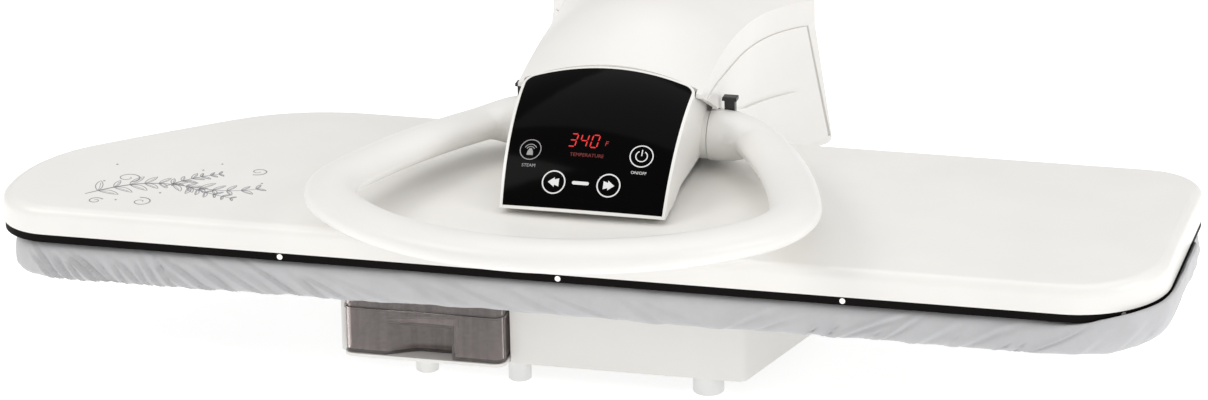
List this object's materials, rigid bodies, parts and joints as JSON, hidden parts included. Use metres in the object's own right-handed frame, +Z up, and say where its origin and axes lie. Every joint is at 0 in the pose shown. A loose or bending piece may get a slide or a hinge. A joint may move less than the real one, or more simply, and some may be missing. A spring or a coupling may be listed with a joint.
{
  "type": "steam ironing press",
  "caption": "Table-top steam ironing press with a padded board, hinged heated plate, loop handle, control head and slide-out water tank.",
  "frame": {"origin": "on the table under the middle of the whole press", "axes": "+X along the board to its square end, +Y from the user to the hinge, +Z up"},
  "size_m": [1.023, 0.6034, 0.28],
  "materials": {
    "shell_plastic": "warm white moulded plastic, satin gloss",
    "handle_plastic": "warm white moulded plastic, satin gloss",
    "band_plastic": "black heat-resistant plastic, fine grain",
    "black_plastic": "black moulded plastic",
    "inner_plastic": "plain grey moulding",
    "screw_steel": "bright plated screw heads",
    "pin_steel": "ground steel",
    "sheet_steel": "plated sheet steel",
    "spring_steel": "oiled spring wire",
    "tube_steel": "heater tube, heat tinted",
    "board_steel": "grey painted sheet",
    "plate_aluminium": "cast and ground",
    "cover_fabric": "silver-grey coated cotton, gathered",
    "elastic": "woven elastic tape",
    "pad_foam": "open-cell foam and felt",
    "tank_plastic": "smoky clear moulded plastic",
    "plug_rubber": "soft plug",
    "foot_rubber": "translucent white foot",
    "bush_plastic": "low-friction bush",
    "circuit_board": "coated circuit board",
    "panel_glass": "black gloss fascia"
  },
  "bodies": {
    "base": {"base_housing": "shell_plastic", "base_bottom": "inner_plastic", "tank_tray": "shell_plastic", "board_cover": "cover_fabric", "foam_pad": "pad_foam", "board_plate": "board_steel", "elastic_hem": "elastic", "board_bracket_right": "board_steel", "board_bracket_left": "board_steel", "water_pump": "inner_plastic", "power_board": "circuit_board", "power_inlet": "black_plastic", "hinge_tower": "shell_plastic", "hinge_bracket_right": "sheet_steel", "hinge_bracket_left": "sheet_steel", "hinge_pin": "pin_steel", "lift_spring": "spring_steel", "foot_front_right": "foot_rubber", "foot_front_middle": "foot_rubber", "foot_front_left": "foot_rubber", "foot_rear_right": "foot_rubber", "foot_rear_left": "foot_rubber"},
    "arm": {"upper_casing": "shell_plastic", "plate_frame": "band_plastic", "frame_screws": "screw_steel", "heating_plate": "plate_aluminium", "heating_element": "tube_steel", "steam_chamber_right": "plate_aluminium", "steam_chamber_left": "plate_aluminium", "heat_shield": "sheet_steel", "plate_hanger": "sheet_steel", "hanger_pin": "pin_steel", "hinge_bush_right": "bush_plastic", "hinge_bush_left": "bush_plastic", "arm_frame": "sheet_steel", "arm_cover": "shell_plastic", "arm_side_right": "shell_plastic", "arm_side_left": "shell_plastic", "arm_cheek_right": "shell_plastic", "arm_cheek_left": "shell_plastic", "rear_cover": "shell_plastic", "control_head": "shell_plastic", "control_panel": "panel_glass", "display_module": "black_plastic", "control_board": "circuit_board", "handle_pin_right": "pin_steel", "handle_pin_left": "pin_steel"},
    "handle": {"handle_loop": "handle_plastic"},
    "lock_tab_right": {"lock_tab_right": "black_plastic"},
    "lock_tab_left": {"lock_tab_left": "black_plastic"},
    "tank": {"water_tank": "tank_plastic", "tank_lid": "tank_plastic", "tank_plug": "plug_rubber"}
  },
  "joints": [
    {"name": "arm_lift", "type": "hinge", "parent": "base", "child": "arm", "pos_m": [0.0055, 0.2377, 0.118], "axis": [-1, 0, 0], "range_deg": [0, 45]},
    {"name": "handle_turn", "type": "hinge", "parent": "arm", "child": "handle", "pos_m": [0.0055, 0.0807, 0.182], "axis": [-1, 0, 0], "range_deg": [0, 20]},
    {"name": "lock_right", "type": "slide", "parent": "handle", "child": "lock_tab_right", "axis": [0, 0, 1], "range_m": [0, 0.006]},
    {"name": "lock_left", "type": "slide", "parent": "handle", "child": "lock_tab_left", "axis": [0, 0, 1], "range_m": [0, 0.006]},
    {"name": "tank_slide", "type": "slide", "parent": "base", "child": "tank", "axis": [0, -1, 0], "range_m": [0, 0.13]}
  ]
}
